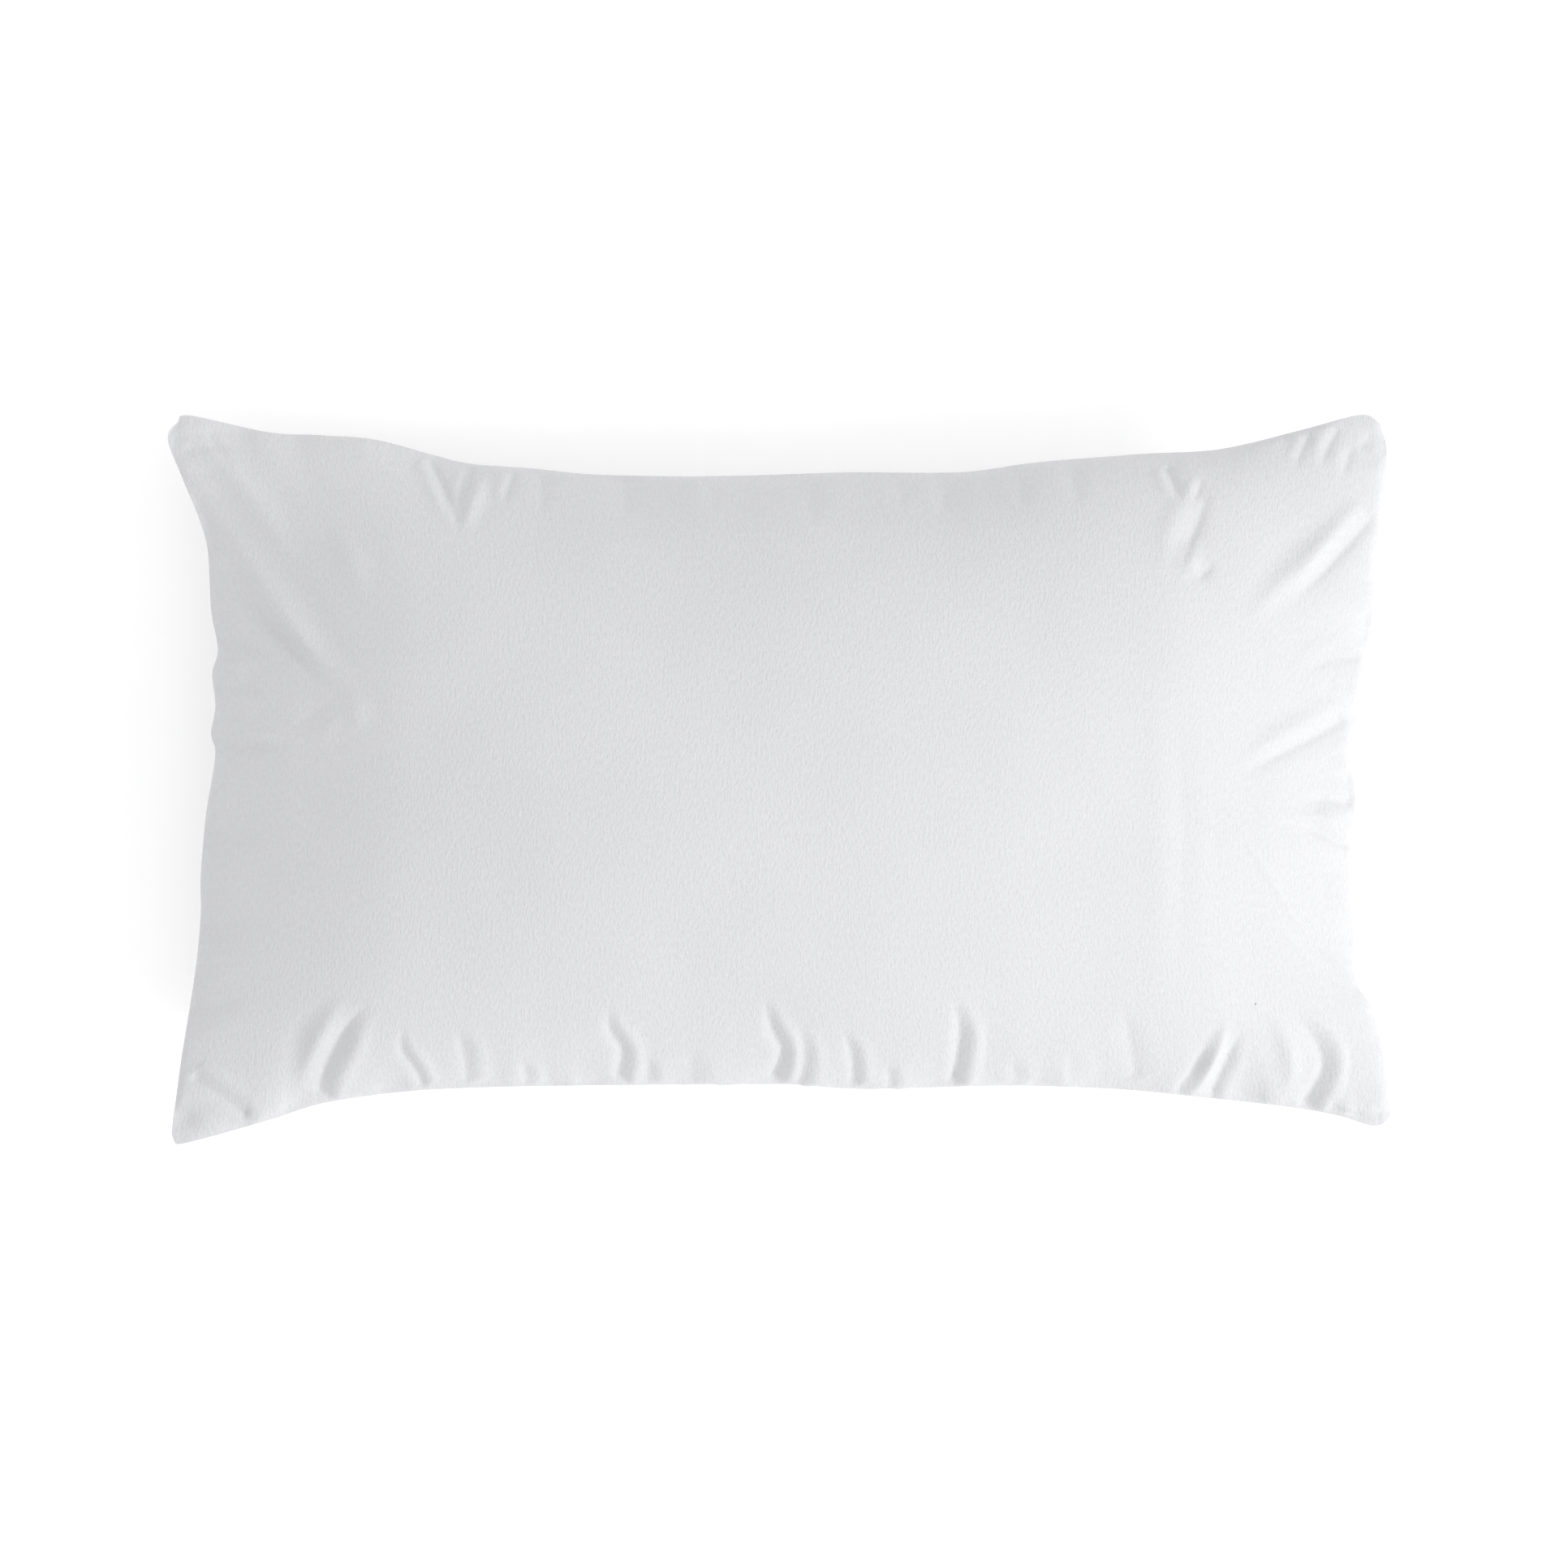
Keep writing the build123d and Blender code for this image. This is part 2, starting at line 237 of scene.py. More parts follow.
def halve_cells(grid, axis):
    """Puts a point between each two along one axis, on a smooth curve."""
    g = np.moveaxis(grid, axis, 0)
    padded = np.concatenate([2 * g[:1] - g[1:2], g, 2 * g[-1:] - g[-2:-1]])
    between = (-padded[:-3] + 9 * padded[1:-2] + 9 * padded[2:-1] - padded[3:]) / 16
    out = np.empty((2 * len(g) - 1,) + g.shape[1:])
    out[::2] = g
    out[1::2] = between
    return np.moveaxis(out, 0, axis)


def smooth_grid(grid, times):
    """Evens a grid out without moving its rim."""
    g = grid.copy()
    for _ in range(times):
        around = g[:-2, 1:-1] + g[2:, 1:-1] + g[1:-1, :-2] + g[1:-1, 2:]
        g[1:-1, 1:-1] = 0.5 * g[1:-1, 1:-1] + 0.125 * around
    return g


def outward(grid, up):
    along = np.gradient(grid, axis=1)
    across = np.gradient(grid, axis=0)
    n = np.cross(along, across) * up
    return n / np.maximum(np.linalg.norm(n, axis=2, keepdims=True), 1e-9)


# ---------------------------------------------------------------- folds in the cloth, in mm
# Each is a line seen from above, how far it stands or sinks, and its half width.
# "ridge" stands up. "crease" is a sharp valley. "tuck" is a valley with a soft roll on the left
# of its line, looking along it, and a steep wall on the right.
FRONT_FOLDS = [
    # the top left ear and the long folds that run out of it
    ("ridge", [(-404, 242), (-380, 214), (-354, 183), (-330, 150)], 2.3, 7.6),
    ("ridge", [(-394, 190), (-362, 144), (-332, 106), (-300, 72), (-284, 56)], 4.4, 8.0),
    ("tuck", [(-372, 132), (-354, 108), (-332, 84), (-306, 58)], 3.4, 5.0),
    ("ridge", [(-310, 180), (-294, 152), (-280, 120)], 1.3, 8.5),
    ("ridge", [(-300, 66), (-288, 46), (-292, 30)], 1.5, 7.6),
    ("crease", [(-414, 228), (-394, 232), (-370, 228)], 1.0, 3.2),
    ("crease", [(-418, 214), (-400, 212), (-384, 204)], 1.0, 3.2),
    ("crease", [(-398, 240), (-386, 226), (-376, 214)], 1.0, 3.2),
    # the V-shaped tuck in the top seam
    ("tuck", [(-216, 168), (-228, 198), (-242, 226)], 2.4, 3.7),
    ("ridge", [(-217, 166), (-209, 196), (-202, 219)], 2.3, 5.1),
    ("tuck", [(-219, 170), (-215, 198), (-211, 217)], 2.0, 3.0),
    ("tuck", [(-190, 186), (-185, 202), (-182, 214)], 1.4, 3.0),
    ("crease", [(-162, 180), (-164, 212)], 0.8, 4.8),
    # small gathers along the rest of the top seam
    ("crease", [(-104, 176), (-108, 211)], 0.7, 6.4),
    ("crease", [(-44, 180), (-46, 211)], 0.7, 6.4),
    ("crease", [(24, 172), (20, 212)], 1.0, 7.2),
    ("crease", [(86, 182), (82, 213)], 0.7, 5.6),
    ("tuck", [(112, 178), (120, 213)], 0.9, 5.2),
    ("crease", [(166, 184), (170, 218)], 1.0, 5.6),
    ("crease", [(206, 186), (204, 222)], 1.0, 6.4),
    # folds at the left-hand seam
    ("ridge", [(-330, 28), (-362, 33), (-392, 31)], 2.1, 4.2),
    ("crease", [(-336, 20), (-366, 22), (-392, 20)], 1.4, 4.0),
    ("tuck", [(-300, 56), (-320, 44), (-338, 33)], 2.2, 5.2),
    ("crease", [(-350, 58), (-372, 62), (-391, 63)], 1.3, 4.0),
    ("tuck", [(-352, 88), (-374, 92), (-392, 97)], 1.4, 4.4),
    ("ridge", [(-356, 76), (-391, 82)], 1.2, 5.1),
    ("crease", [(-352, -40), (-397, -44)], 0.8, 6.4),
    ("crease", [(-360, -96), (-403, -106)], 1.1, 6.4),
    ("crease", [(-364, -150), (-408, -162)], 1.1, 6.4),
    # tucks up from the zipped seam
    ("ridge", [(-296, -146), (-310, -168), (-326, -198), (-334, -218)], 4.1, 7.6),
    ("tuck", [(-280, -150), (-298, -172), (-312, -196), (-320, -220)], 4.8, 5.2),
    ("tuck", [(-258, -168), (-260, -186), (-252, -200), (-246, -214)], 3.0, 3.7),
    ("tuck", [(-221, -168), (-217, -190), (-216, -210)], 2.2, 4.4),
    ("tuck", [(-177, -192), (-174, -212)], 1.8, 3.7),
    ("tuck", [(-116, -152), (-116, -172), (-108, -188), (-112, -210)], 3.9, 4.4),
    ("tuck", [(-90, -190), (-90, -210)], 1.6, 3.7),
    ("tuck", [(-62, -184), (-60, -210)], 1.0, 5.2),
    ("tuck", [(-10, -146), (-5, -172), (2, -188), (-4, -210)], 4.2, 4.4),
    ("tuck", [(14, -166), (17, -190), (15, -212)], 2.4, 4.4),
    ("tuck", [(44, -170), (50, -190), (52, -212)], 2.8, 3.7),
    ("tuck", [(74, -194), (78, -213)], 1.6, 3.7),
    ("tuck", [(119, -148), (124, -170), (123, -190), (120, -212)], 4.5, 4.4),
    ("tuck", [(160, -190), (165, -212)], 1.3, 4.4),
    ("tuck", [(200, -184), (204, -212)], 1.0, 5.2),
    ("crease", [(236, -152), (242, -180), (248, -208)], 1.6, 6.4),
    ("ridge", [(310, -162), (303, -186), (293, -206), (287, -222)], 4.1, 4.2),
    ("crease", [(320, -170), (311, -194), (300, -222)], 3.2, 4.0),
    ("tuck", [(298, -178), (289, -198), (276, -218)], 2.4, 3.7),
    ("ridge", [(338, -160), (352, -182), (356, -204), (350, -224)], 2.6, 6.8),
    ("tuck", [(352, -160), (372, -180), (378, -198), (372, -214), (364, -229)], 4.8, 4.4),
    # the bottom corners
    ("crease", [(382, -226), (402, -233), (421, -235)], 2.6, 3.2),
    ("tuck", [(-408, -206), (-390, -218), (-368, -234)], 2.4, 3.7),
    ("ridge", [(-412, -232), (-398, -238), (-384, -240)], 1.2, 5.1),
    # the top right corner
    ("tuck", [(280, 190), (275, 203), (270, 218)], 2.2, 3.0),
    ("tuck", [(282, 190), (290, 198), (294, 212)], 1.8, 3.0),
    ("tuck", [(268, 126), (282, 160), (296, 196), (300, 214)], 3.0, 5.9),
    ("ridge", [(270, 130), (280, 152), (292, 172)], 1.9, 6.0),
    ("tuck", [(286, 134), (300, 150)], 1.8, 4.4),
    ("ridge", [(318, 104), (344, 132), (372, 158), (406, 196)], 3.5, 7.6),
    ("tuck", [(352, 120), (384, 150), (416, 184)], 2.8, 5.2),
    ("crease", [(404, 228), (414, 242)], 1.7, 3.2),
    ("tuck", [(376, 214), (382, 230), (390, 244)], 1.6, 3.0),
    ("tuck", [(356, 212), (364, 228), (370, 240)], 1.3, 3.0),
    ("tuck", [(392, 206), (396, 222), (402, 236)], 1.4, 3.0),
    # folds at the right-hand seam
    ("tuck", [(312, 0), (340, 14), (368, 28), (396, 42)], 2.8, 5.9),
    ("ridge", [(322, 16), (352, 30), (392, 50)], 1.5, 6.8),
    ("crease", [(358, -14), (380, -14), (400, -17)], 2.0, 4.0),
    ("tuck", [(352, -28), (376, -38), (398, -48)], 2.5, 4.4),
    ("ridge", [(360, -22), (398, -32)], 1.3, 4.2),
    ("crease", [(344, -98), (372, -118), (408, -148)], 1.6, 4.0),
    ("tuck", [(356, 72), (382, 82), (408, 86)], 1.2, 5.2),
    # long soft drag lines over the right-hand half
    ("ridge", [(256, 96), (261, -60), (256, -170)], 0.4, 6.8),
    ("ridge", [(285, 80), (291, -60), (288, -150)], 0.3, 6.0),
    ("crease", [(272, 70), (276, -80), (270, -160)], 0.4, 4.8),
    # the inner pillow's edge showing through
    ("ridge", [(-30, -136), (72, -158), (160, -171), (250, -184)], 0.7, 2.4),
    ("ridge", [(306, -20), (340, -70), (374, -124)], 0.6, 2.4),
]


def fold_form(kind, s, width):
    """The height across a fold at signed distances from its line, as a share of its own height."""
    near = np.sqrt(s**2 + (0.22 * width)**2) - 0.22 * width
    if kind == "ridge":
        return np.exp(-(s / width)**2) - 0.16 * np.exp(-((abs(s) - 2.1 * width) / width)**2)
    if kind == "crease":
        return -np.exp(-near / (0.7 * width)) + 0.2 * np.exp(-((abs(s) - 2.0 * width) / width)**2)
    side = np.where(s > 0, 1.25 * width, 0.55 * width)
    return -np.exp(-near / side) + 0.55 * np.exp(-((s - 2.4 * width) / (1.2 * width))**2)


def to_seam(spot, grid):
    """How far a spot seen from above is from the nearest seam."""
    rim = np.vstack([grid[0], grid[-1], grid[:, 0], grid[:, -1]])[:, :2]
    return np.linalg.norm(rim - spot, axis=1).min()


def lay_folds(grid, folds, up, seed):
    """Raises and sinks the cloth along each fold, which fades where it runs out into the panel."""
    out = outward(grid, up)
    shift = np.zeros(grid.shape[:2])
    rng = np.random.default_rng(seed)
    for kind, line, height, width in folds:
        path = smooth_path(line, 16)
        margin = 4 * width
        low, high = path.min(axis=0) - margin, path.max(axis=0) + margin
        near = np.all((grid[..., :2] > low) & (grid[..., :2] < high), axis=2)
        spots = grid[..., :2][near]
        nearest = np.full(len(spots), 1e9)
        signed = np.zeros(len(spots))
        place = np.zeros(len(spots))
        for k in range(len(path) - 1):
            start, step = path[k], path[k + 1] - path[k]
            away = spots - start
            t = np.clip((away @ step) / (step @ step), 0, 1)
            d = np.linalg.norm(away - t[:, None] * step, axis=1)
            turn = np.sign(step[0] * away[:, 1] - step[1] * away[:, 0])
            closer = d < nearest
            nearest = np.where(closer, d, nearest)
            signed = np.where(closer, d * turn, signed)
            place = np.where(closer, (k + t) / (len(path) - 1), place)
        ends = [0.06 if kind != "ridge" and to_seam(spot, grid) < 12 else 0.5 for spot in (path[0], path[-1])]
        fade = np.clip(place / ends[0], 0, 1) * np.clip((1 - place) / ends[1], 0, 1)
        fade = fade * fade * (3 - 2 * fade)
        reach = width * (0.62 + 0.45 * fade) * rng.uniform(0.9, 1.1)
        shift[near] += height * fade * fold_form(kind, signed, reach)
    shift *= 1 - np.exp(-(np.minimum.reduce(rim_distance(grid)) / 3.0)**2)
    return grid + out * shift[..., None]


def rim_distance(grid):
    """Roughly how far each point is from the seam over the cloth, in mm."""
    rows, cols = grid.shape[:2]
    across = np.linalg.norm(np.diff(grid, axis=0), axis=2)
    along = np.linalg.norm(np.diff(grid, axis=1), axis=2)
    down = np.vstack([np.zeros((1, cols)), np.cumsum(across, axis=0)])
    left = np.hstack([np.zeros((rows, 1)), np.cumsum(along, axis=1)])
    return down, down[-1:] - down, left, left[:, -1:] - left


def uneven(values, seed, pitch):
    """Smooth random numbers from -1 to 1 along a line of places."""
    return np.array([noise.noise(Vector((v / pitch, seed * 7.3, 0.5))) for v in values]) * 1.6


def gather_seams(grid, up, strength, seed):
    """The fine gathers that stitching leaves along each seam."""
    out = outward(grid, up)
    sides = rim_distance(grid)
    x, y = grid[..., 0], grid[..., 1]
    runs = (x[0], x[-1], y[:, 0], y[:, -1])
    shift = np.zeros(grid.shape[:2])
    for k, (distance, run, amount) in enumerate(zip(sides, runs, strength)):
        fine = uneven(run, seed + k, 9.0) * np.clip(uneven(run, seed + k + 20, 60.0) + 0.75, 0.15, 1.4)
        coarse = uneven(run, seed + k + 10, 27.0)
        if k < 2:
            fine, coarse = fine[None, :], coarse[None, :]
        else:
            fine, coarse = fine[:, None], coarse[:, None]
        rise = 1 - np.exp(-(distance / 3.0)**2)
        shift += amount * rise * (fine * np.exp(-distance / 9.0) + 1.4 * coarse * np.exp(-distance / 24.0))
    return grid + out * shift[..., None]


def slack_cloth(grid, up, height, seed):
    """Slow unevenness over the whole panel, from the filling under it."""
    out = outward(grid, up)
    rows, cols = grid.shape[:2]
    step = 4
    coarse_rows = np.arange(0, rows + step, step)
    coarse_cols = np.arange(0, cols + step, step)
    values = np.zeros((len(coarse_rows), len(coarse_cols)))
    for a, i in enumerate(coarse_rows):
        for b, j in enumerate(coarse_cols):
            x, y = grid[min(i, rows - 1), min(j, cols - 1), :2]
            broad = noise.noise(Vector((x / 150, y / 150, seed)))
            small = noise.noise(Vector((x / 48, y / 62, seed + 9)))
            values[a, b] = broad + 0.22 * small
    mid = np.array([np.interp(np.arange(cols), coarse_cols, row) for row in values])
    shift = np.array([np.interp(np.arange(rows), coarse_rows, mid[:, j]) for j in range(cols)]).T
    u = np.linspace(-1, 1, cols)[None, :]
    v = np.linspace(-1, 1, rows)[:, None]
    inside = np.clip((1 - u**2) * 6, 0, 1) * np.clip((1 - v**2) * 6, 0, 1)
    return grid + out * (height * shift * inside)[..., None]


def scattered_tucks(seed, count):
    """Tucks up from the seams of the back panel, away from the zip."""
    rng = np.random.default_rng(seed)
    folds = []
    for _ in range(count):
        side = rng.integers(0, 4)
        length, lean = rng.uniform(26, 66), rng.uniform(-12, 12)
        height, width = rng.uniform(2.0, 6.0), rng.uniform(5, 9)
        s = 1 if side % 2 else -1
        x, y = rng.uniform(-370, 370), rng.uniform(-190, 190)
        if side < 2 and s < 0 and abs(x) < 235:
            continue
        if side < 2:
            line = [(x + lean, s * (211 - length)), (x + 0.4 * lean, s * (211 - length / 2)), (x, s * 211)]
        else:
            line = [(s * (396 - length), y + lean), (s * (396 - length / 2), y + 0.4 * lean), (s * 396, y)]
        folds.append(("tuck", line, height, width))
    return folds


BACK_FOLDS = scattered_tucks(11, 46) + [
    ("ridge", [(-300, 132), (-344, 172), (-404, 234)], 5.0, 11),
    ("tuck", [(-320, 120), (-360, 164), (-404, 214)], 5.0, 8),
    ("ridge", [(310, 138), (356, 180), (408, 238)], 5.0, 11),
    ("tuck", [(320, -140), (360, -178), (410, -224)], 5.0, 8),
    ("ridge", [(-316, -146), (-358, -186), (-408, -238)], 5.0, 10),
]


def shake_seam(front, back):
    """The sewn edge is not quite level: it lifts and dips between its gathers."""
    rows, cols = front.shape[:2]
    distances = rim_distance(front)
    runs = (front[0, :, 0], front[-1, :, 0], front[:, 0, 1], front[:, -1, 1])
    shift = np.zeros((rows, cols))
    for k, (distance, run) in enumerate(zip(distances, runs)):
        wave = 1.5 * uneven(run, 60 + k, 34.0) + 0.6 * uneven(run, 70 + k, 13.0)
        reach, fade = (420, 60) if k < 2 else (240, 50)
        wave = wave * np.clip((reach - abs(run)) / fade, 0, 1)
        wave = wave[None, :] if k < 2 else wave[:, None]
        shift += wave * np.exp(-distance / 12.0)
    up = np.array([0, 0, 1])
    return front + up * shift[..., None], back + up * shift[..., None]


THIN_CORNER = 3.4  # mm between front and back, reached some way in from the seam
THIN_REACH = 9.0


def keep_apart(front, back):
    """Where a fold would press the front through the back, as in the thin corners, both give way."""
    from_seam = np.minimum.reduce(rim_distance(front))
    least = THIN_CORNER * (1 - np.exp(-(from_seam / THIN_REACH)**2))
    overlap = np.maximum(least - (front[..., 2] - back[..., 2]), 0) / 2
    up = np.array([0, 0, 1])
    return front + up * overlap[..., None], back - up * overlap[..., None]


front, back = starting_forms()
front = gather_seams(front, 1, (2.4, 1.6, 1.8, 1.8), 14)
back = gather_seams(back, -1, (1.6, 2.2, 2.2, 2.2), 52)
front, back = settle(front, back)
front, back = (halve_cells(halve_cells(smooth_grid(g, 1), 0), 1) for g in (front, back))
front = slack_cloth(front, 1, 2.2, 3.1)
back = slack_cloth(back, -1, 2.0, 8.4)
front = lay_folds(front, FRONT_FOLDS, 1, 5)
back = lay_folds(back, BACK_FOLDS, -1, 6)
front = gather_seams(front, 1, (1.7, 0.8, 0.9, 0.9), 2)
back = gather_seams(back, -1, (0.6, 1.0, 1.0, 1.0), 40)
front, back = shake_seam(front, back)
front, back = keep_apart(front, back)
back[..., 2] = np.maximum(back[..., 2], LEAST_HEIGHT)
core_front, core_back = front[::2, ::2], back[::2, ::2]


# ---------------------------------------------------------------- finishes

def finish(name, color, roughness):
    m = bpy.data.materials.new(name)
    m.use_nodes = True
    nodes, links = m.node_tree.nodes, m.node_tree.links
    shader = nodes["Principled BSDF"]
    shader.inputs["Base Color"].default_value = (*color, 1)
    shader.inputs["Roughness"].default_value = roughness
    return m, nodes, links, shader


def mapped(nodes, links, source, scale):
    where = nodes.new("ShaderNodeTexCoord")
    turn = nodes.new("ShaderNodeMapping")
    turn.inputs["Scale"].default_value = scale
    links.new(where.outputs[source], turn.inputs["Vector"])
    return turn.outputs["Vector"]


def noise_node(nodes, links, vector, scale, detail, rough=0.5):
    n = nodes.new("ShaderNodeTexNoise")
    n.inputs["Scale"].default_value = scale
    n.inputs["Detail"].default_value = detail
    n.inputs["Roughness"].default_value = rough
    links.new(vector, n.inputs["Vector"])
    return n.outputs["Fac"]


def maths(nodes, links, kind, a, b):
    m = nodes.new("ShaderNodeMath")
    m.operation = kind
    for socket, value in zip(m.inputs, (a, b)):
        if isinstance(value, (int, float)):
            socket.default_value = value
        else:
            links.new(value, socket)
    return m.outputs[0]


def add_bump(nodes, links, height, strength, distance, under=None):
    b = nodes.new("ShaderNodeBump")
    b.inputs["Strength"].default_value = strength
    b.inputs["Distance"].default_value = distance
    links.new(height, b.inputs["Height"])
    if under is not None:
        links.new(under, b.inputs["Normal"])
    return b.outputs["Normal"]


def ramp(nodes, links, value, stops):
    r = nodes.new("ShaderNodeValToRGB")
    while len(r.color_ramp.elements) < len(stops):
        r.color_ramp.elements.new(0.5)
    for e, (at, color) in zip(r.color_ramp.elements, stops):
        e.position = at
        e.color = (*color, 1)
    links.new(value, r.inputs["Fac"])
    return r.outputs["Color"]


def brushed_cotton():
    """White napped cotton: warp threads under a raised, mottled nap with a few pills and specks."""
    m, nodes, links, shader = finish("brushed cotton", (0.64, 0.642, 0.65), 0.92)
    cloth = mapped(nodes, links, "UV", (1, 1, 1))
    stretched = mapped(nodes, links, "UV", (1.0, 0.42, 1.0))
    threads = noise_node(nodes, links, stretched, 1300, 2.0, 0.6)
    nap = noise_node(nodes, links, stretched, 500, 2.0, 0.55)
    mottle = noise_node(nodes, links, cloth, 190, 3.0, 0.6)
    clouds = noise_node(nodes, links, cloth, 7, 2.0, 0.5)
    pills = nodes.new("ShaderNodeTexVoronoi")
    pills.inputs["Scale"].default_value = 55
    pills.inputs["Randomness"].default_value = 1.0
    links.new(cloth, pills.inputs["Vector"])
    pill = maths(nodes, links, "LESS_THAN", pills.outputs["Distance"], 0.05)
    specks = nodes.new("ShaderNodeTexVoronoi")
    specks.inputs["Scale"].default_value = 12
    links.new(cloth, specks.inputs["Vector"])
    speck = maths(nodes, links, "LESS_THAN", specks.outputs["Distance"], 0.009)
    grain = maths(nodes, links, "MULTIPLY", maths(nodes, links, "ADD", nap, threads), 0.5)
    tone = ramp(nodes, links, grain, [(0.3, (0.605, 0.606, 0.617)), (0.5, (0.645, 0.646, 0.657)),
                                      (0.7, (0.686, 0.687, 0.696))])
    shade = nodes.new("ShaderNodeMix")
    shade.data_type = "RGBA"
    shade.blend_type = "MULTIPLY"
    shade.inputs["Factor"].default_value = 1.0
    links.new(tone, shade.inputs["A"])
    links.new(ramp(nodes, links, clouds, [(0.3, (0.97, 0.972, 0.978)), (0.7, (1, 1, 1))]), shade.inputs["B"])
    dirt = nodes.new("ShaderNodeMix")
    dirt.data_type = "RGBA"
    dirt.inputs["B"].default_value = (0.32, 0.3, 0.29, 1)
    links.new(speck, dirt.inputs["Factor"])
    links.new(shade.outputs["Result"], dirt.inputs["A"])
    links.new(dirt.outputs["Result"], shader.inputs["Base Color"])
    normal = add_bump(nodes, links, mottle, 0.15, 0.0010)
    normal = add_bump(nodes, links, nap, 0.6, 0.0010, normal)
    normal = add_bump(nodes, links, threads, 0.5, 0.0005, normal)
    normal = add_bump(nodes, links, pill, 0.5, 0.0005, normal)
    links.new(normal, shader.inputs["Normal"])
    shader.inputs["Sheen Weight"].default_value = 0.18
    shader.inputs["Sheen Roughness"].default_value = 0.5
    shader.inputs["Specular IOR Level"].default_value = 0.2
    return m


def woven(name, color, scale, depth):
    """Plain woven cloth: two sets of threads at right angles."""
    m, nodes, links, shader = finish(name, color, 0.85)
    place = mapped(nodes, links, "Object", (1, 1, 1))
    sets = []
    for direction in ("X", "Y"):
        w = nodes.new("ShaderNodeTexWave")
        w.bands_direction = direction
        w.inputs["Scale"].default_value = scale
        w.inputs["Distortion"].default_value = 0.6
        links.new(place, w.inputs["Vector"])
        sets.append(w.outputs["Fac"])
    height = maths(nodes, links, "MAXIMUM", sets[0], sets[1])
    tone = ramp(nodes, links, height, [(0.0, tuple(c * 0.86 for c in color)), (1.0, color)])
    links.new(tone, shader.inputs["Base Color"])
    links.new(add_bump(nodes, links, height, 0.5, depth), shader.inputs["Normal"])
    shader.inputs["Sheen Weight"].default_value = 0.15
    return m


def fluffy_fibre():
    m, nodes, links, shader = finish("polyester fibre", (0.86, 0.87, 0.88), 0.95)
    place = mapped(nodes, links, "Object", (1, 1, 1))
    tufts = noise_node(nodes, links, place, 60, 6.0, 0.7)
    tone = ramp(nodes, links, tufts, [(0.3, (0.78, 0.79, 0.8)), (0.7, (0.9, 0.9, 0.91))])
    links.new(tone, shader.inputs["Base Color"])
    links.new(add_bump(nodes, links, tufts, 0.8, 0.004), shader.inputs["Normal"])
    shader.inputs["Sheen Weight"].default_value = 0.4
    return m


def twisted_thread():
    m, nodes, links, shader = finish("twisted thread", (0.85, 0.86, 0.87), 0.7)
    place = mapped(nodes, links, "Object", (1, 1, 1))
    w = nodes.new("ShaderNodeTexWave")
    w.bands_direction = "DIAGONAL"
    w.inputs["Scale"].default_value = 260
    w.inputs["Distortion"].default_value = 1.0
    links.new(place, w.inputs["Vector"])
    tone = ramp(nodes, links, w.outputs["Fac"], [(0, (0.7, 0.71, 0.72)), (1, (0.87, 0.88, 0.89))])
    links.new(tone, shader.inputs["Base Color"])
    links.new(add_bump(nodes, links, w.outputs["Fac"], 0.6, 0.0004), shader.inputs["Normal"])
    return m


def moulded_nylon():
    m, nodes, links, shader = finish("nylon coil", (0.8, 0.81, 0.82), 0.35)
    place = mapped(nodes, links, "Object", (1, 1, 1))
    grain = noise_node(nodes, links, place, 900, 2.0)
    tone = ramp(nodes, links, grain, [(0.3, (0.76, 0.77, 0.78)), (0.7, (0.83, 0.84, 0.85))])
    links.new(tone, shader.inputs["Base Color"])
    links.new(add_bump(nodes, links, grain, 0.15, 0.0001), shader.inputs["Normal"])
    return m


def enamelled_zinc():
    m, nodes, links, shader = finish("enamelled zinc", (0.8, 0.81, 0.82), 0.3)
    place = mapped(nodes, links, "Object", (1, 1, 1))
    wear = noise_node(nodes, links, place, 500, 4.0, 0.7)
    tone = ramp(nodes, links, wear, [(0.35, (0.74, 0.75, 0.76)), (0.6, (0.83, 0.84, 0.85))])
    links.new(tone, shader.inputs["Base Color"])
    gloss = ramp(nodes, links, wear, [(0.3, (0.42,) * 3), (0.7, (0.24,) * 3)])
    links.new(gloss, shader.inputs["Roughness"])
    links.new(add_bump(nodes, links, wear, 0.12, 0.0001), shader.inputs["Normal"])
    shader.inputs["Coat Weight"].default_value = 0.3
    return m


# ---------------------------------------------------------------- the zip's place, from its own parts

def zip_frame():
    """The middle of the chain, the way up the tapes and the way out of the cover, in metres."""
    up = Vector(next(j for j in frame["joints"] if j["name"] == "pull_tab_swing")["axis"]).normalized()
    out = Vector((1, 0, 0)).cross(up)
    low_a, high_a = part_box("zip_coil_upper")
    low_b, high_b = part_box("zip_coil_lower")
    low = [min(a, b) for a, b in zip(low_a, low_b)]
    high = [max(a, b) for a, b in zip(high_a, high_b)]
    middle = Vector([(a + b) / 2 for a, b in zip(low, high)])
    return middle, up, out, (high[0] - low[0]) / 2


# in mm
CLOTH_OVER_ZIP = 4.7  # from the middle of the chain out to the cover
SLIT_HALF = 1.3
SLIT_SPARE = 3.0  # past each end of the chain
SLIT_TAPER = 14
PRESSED_SPARE = 26  # how far past the slit's ends the cloth is still pressed flat
PRESSED_FADE = 24
PRESSED_HALF = 24  # up and down from the slit
EDGE_TURN = 1.6  # how deep the slit's edges are turned in


